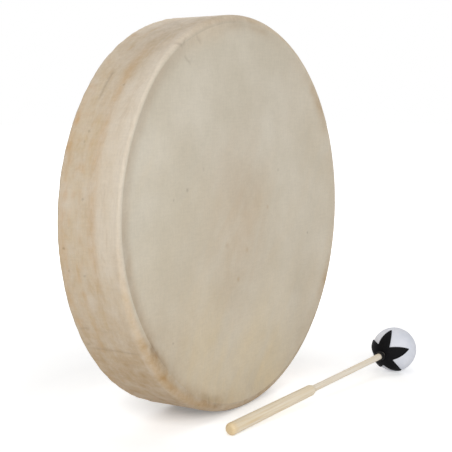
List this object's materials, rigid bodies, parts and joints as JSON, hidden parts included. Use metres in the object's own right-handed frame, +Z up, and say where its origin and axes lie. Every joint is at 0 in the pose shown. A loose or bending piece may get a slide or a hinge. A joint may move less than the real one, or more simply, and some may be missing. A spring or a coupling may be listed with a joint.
{
  "type": "shaman drum with beater",
  "caption": "Round single-headed frame drum with rawhide drawn over a wooden hoop, laced at the back to a ring and bound hand grip, and a loose ball-headed beater beside it.",
  "frame": {"origin": "middle of the flat under the rim on which the drum stands", "axes": "+Z up, the drum axis along Y with the skin towards -Y, +X along the width of the drum towards the beater's ball"},
  "size_m": [0.4202, 0.175, 0.3995],
  "materials": {
    "rawhide": "matte",
    "hoop_wood": "satin",
    "ring_steel": "satin",
    "thong": "matte",
    "strap_leather": "matte",
    "beater_wood": "satin",
    "filling": "matte",
    "white_leather": "satin",
    "black_leather": "matte",
    "black_thread": "matte"
  },
  "bodies": {
    "drum": {"frame_hoop": "hoop_wood", "drum_head": "rawhide", "hand_ring": "ring_steel", "lace_1": "thong", "lace_2": "thong", "lace_3": "thong", "lace_4": "thong", "lace_5": "thong", "lace_6": "thong", "lace_7": "thong", "lace_8": "thong", "grip_wrap_1": "strap_leather", "grip_wrap_2": "strap_leather", "grip_wrap_3": "strap_leather", "grip_wrap_4": "strap_leather"},
    "beater": {"beater_handle": "beater_wood", "beater_shaft": "beater_wood", "beater_core": "filling", "beater_cover": "white_leather", "beater_star": "black_leather", "neck_binding": "black_thread"}
  },
  "joints": [
    {"name": "beater_lift", "type": "slide", "parent": "drum", "child": "beater", "axis": [0, 0, 1], "range_m": [0, 0.2]}
  ]
}
